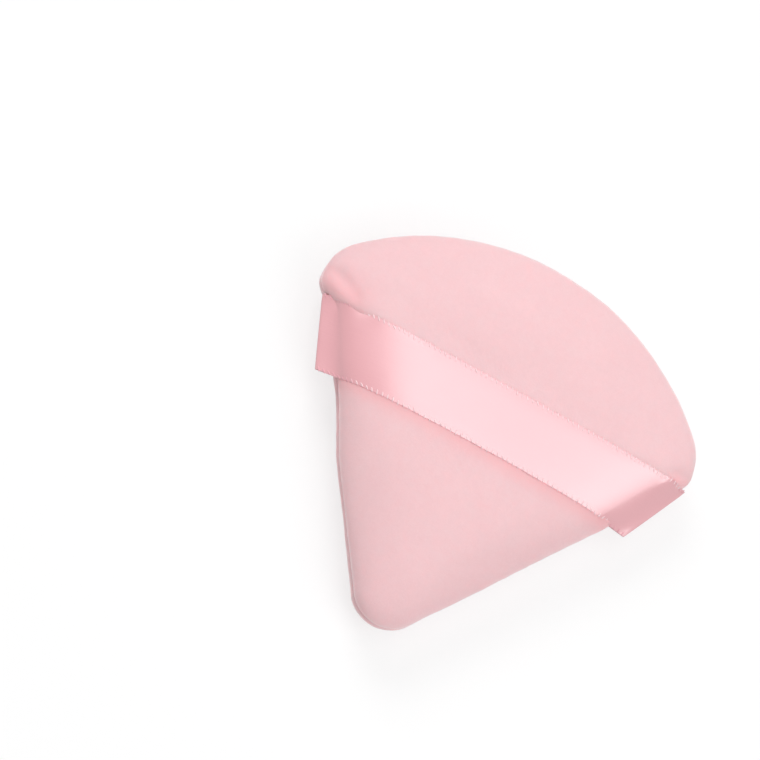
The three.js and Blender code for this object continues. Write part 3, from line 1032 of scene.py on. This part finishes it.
def foam_material():
    """Open cell sponge: pale walls round small dark cells."""
    material, tree, shader = new_material("foam", Roughness=1, Specular_IOR_Level=0.2)
    place = add_node(tree, "TexCoord").outputs["Object"]
    cells = add_node(tree, "TexVoronoi", {"Vector": place, "Scale": 1400}).outputs["Distance"]
    patches = noise(tree, place, scale=220)
    walls = ranged(tree, cells, FOAM_WALL)
    shade = weighted(tree, (walls, 0.7), (patches, 0.3))
    painted(tree, shader, "Base Color", mixed_colour(tree, shade, *FOAM_SHADES))
    bumped(tree, shader, walls, strength=0.6, distance=0.0004)
    return material


velour = velour_material()
satin = satin_material()
# The selvedge's loops take a painted shade near the ribbon's folds
selvedge = twisted_thread("selvedge", SELVEDGE_SHADES, roughness=0.5, painted_shade=SELVEDGE_PAINTED_SHADE)
thread = twisted_thread("thread", THREAD_SHADES, roughness=0.6)
foam = foam_material()

# The pad
front = front_cover()
back = back_cover()
for cover, node in ((front, "front_cover"), (back, "back_cover")):
    shell = cover.modifiers.new("Solidify", "SOLIDIFY")
    shell.thickness = COVER_THICKNESS * MM
    shell.offset = -1
    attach(cover, "pad")
    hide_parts(node)

filling = sponge_filling()
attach(filling, "pad")
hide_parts("sponge_core")

seam = stitches(
    "seam_stitches", TURNING_GAP[1], TURNING_GAP[0] + outline_length,
    SEAM_STITCH_INSET, SEAM_STITCH_HALF_LENGTH, across_seam=False,
)
closing = stitches(
    "closing_stitches", *TURNING_GAP, LADDER_INSET, LADDER_HALF_LENGTH, across_seam=True,
)
for piece, node in ((seam, "seam_thread"), (closing, "closing_thread")):
    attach(piece, "pad")
    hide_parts(node)

# The strap
strap, strap_length, _ = ribbon("satin_strap", middle_lane)
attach(strap, "strap")
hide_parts("strap_middle")

# The ends stay sewn at the seam
turned_under = BEND_STATIONS - 1 + len(TAIL_INSETS)
for side, name in ((LEFT, "left"), (RIGHT, "right")):
    end, end_length, end_mean = ribbon(f"satin_{name}_end", end_lane, side, turned_under)
    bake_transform(end)
    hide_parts(f"{name}_strap_end")

# Floor and world
FLOOR_REACH = 4000
FLOOR_GLOW = 0.7
WORLD_LIGHT = 0.18

# Lamps: name, angles from straight up towards +X and towards +Y, size in metres, power in watts
LAMPS = (
    ("left_panel", -5, 6, (0.253, 0.585), 1.25),
    ("middle_panel", 12.5, 8, (0.3, 0.585), 1.02),
    ("right_panel", 40, -9, (0.585, 0.75), 3.5),
    ("rear", -38, 44, (0.5, 0.4), 4.3),
    ("fill", -12, -55, (0.5, 0.4), 1.25),
)
LAMP_DISTANCE = 0.9

# The camera looks down at the strap side, turned so that the tip points down and to the left
CAMERA_TILT_X = math.radians(-9.6)
CAMERA_TILT_Y = math.radians(11.0)
CAMERA_ROLL = math.radians(-28.4)
CAMERA_OFFSET = (15.6, -11.9)
CAMERA_DISTANCE = 478
CAMERA_LENS = 127.9
CAMERA_SENSOR = 36
CAMERA_CLIP_START = 0.01


def seen_directly(tree):
    """1 for rays from the camera or off a shiny or clear surface, and 0 for soft light."""
    path = add_node(tree, "LightPath")
    seen = path.outputs["Is Camera Ray"]
    for ray in ("Is Glossy Ray", "Is Transmission Ray"):
        seen = math_node(tree, "MAXIMUM", seen, path.outputs[ray])
    return seen


def shade_output(tree, name, share, first, second):
    """Mixes two shaders into a tree's output."""
    mix = add_node(tree, "MixShader", {0: share, 1: first, 2: second})
    tree.links.new(mix.outputs["Shader"], tree.nodes[name].inputs["Surface"])


def white_floor():
    """A floor that glows a little where it is seen, so that it stays white."""
    material, tree, shader = new_material(
        "floor", Base_Color=FLOOR_COLOUR, Roughness=1, Specular_IOR_Level=0,
    )
    share = math_node(tree, "MULTIPLY", seen_directly(tree), FLOOR_GLOW)
    glow = add_node(tree, "Emission").outputs["Emission"]
    shade_output(tree, "Material Output", share, shader.outputs["BSDF"], glow)
    corners = np.array([(-1, -1, 0), (1, -1, 0), (1, 1, 0), (-1, 1, 0)])
    floor = make_piece("floor", corners * FLOOR_REACH, [(0, 1, 2, 3)], [material])


def white_world():
    """A world that gives little light and shows as white."""
    world = bpy.data.worlds.new("world")
    scene.world = world
    world.use_nodes = True
    tree = world.node_tree
    light = add_node(tree, "Background", {"Color": WHITE, "Strength": WORLD_LIGHT})
    backdrop = add_node(tree, "Background", {"Color": WHITE, "Strength": 1})
    shaders = (light.outputs["Background"], backdrop.outputs["Background"])
    shade_output(tree, "World Output", seen_directly(tree), *shaders)


def area_light(name, angle_x, angle_y, size, power):
    """A soft box that faces the puff."""
    data = bpy.data.lights.new(name, "AREA")
    data.shape = "RECTANGLE"
    data.size, data.size_y = size
    data.energy = power
    light = bpy.data.objects.new(name, data)
    away = Vector((math.tan(math.radians(angle_x)), math.tan(math.radians(angle_y)), 1)).normalized()
    across = (Vector((1, 0, 0)) - away * away.x).normalized()
    turn = Matrix((across, away.cross(across), away)).transposed()
    light.matrix_world = Matrix.Translation(away * LAMP_DISTANCE) @ turn.to_4x4()
    scene.collection.objects.link(light)


def place_camera():
    turn = Matrix.Rotation(CAMERA_TILT_X, 3, "X")
    turn = turn @ Matrix.Rotation(CAMERA_TILT_Y, 3, "Y") @ Matrix.Rotation(CAMERA_ROLL, 3, "Z")
    turn.transpose()
    place = turn @ Vector((-CAMERA_OFFSET[0], -CAMERA_OFFSET[1], CAMERA_DISTANCE))
    place.z += SEAM_HEIGHT
    data = bpy.data.cameras.new("camera")
    data.lens = CAMERA_LENS
    data.sensor_width = CAMERA_SENSOR
    data.clip_start = CAMERA_CLIP_START
    camera = bpy.data.objects.new("camera", data)
    camera.matrix_world = Matrix.Translation(place * MM) @ turn.to_4x4()
    scene.collection.objects.link(camera)
    scene.camera = camera


white_floor()
white_world()
for lamp in LAMPS:
    area_light(*lamp)
place_camera()
scene.view_settings.view_transform = "Standard"
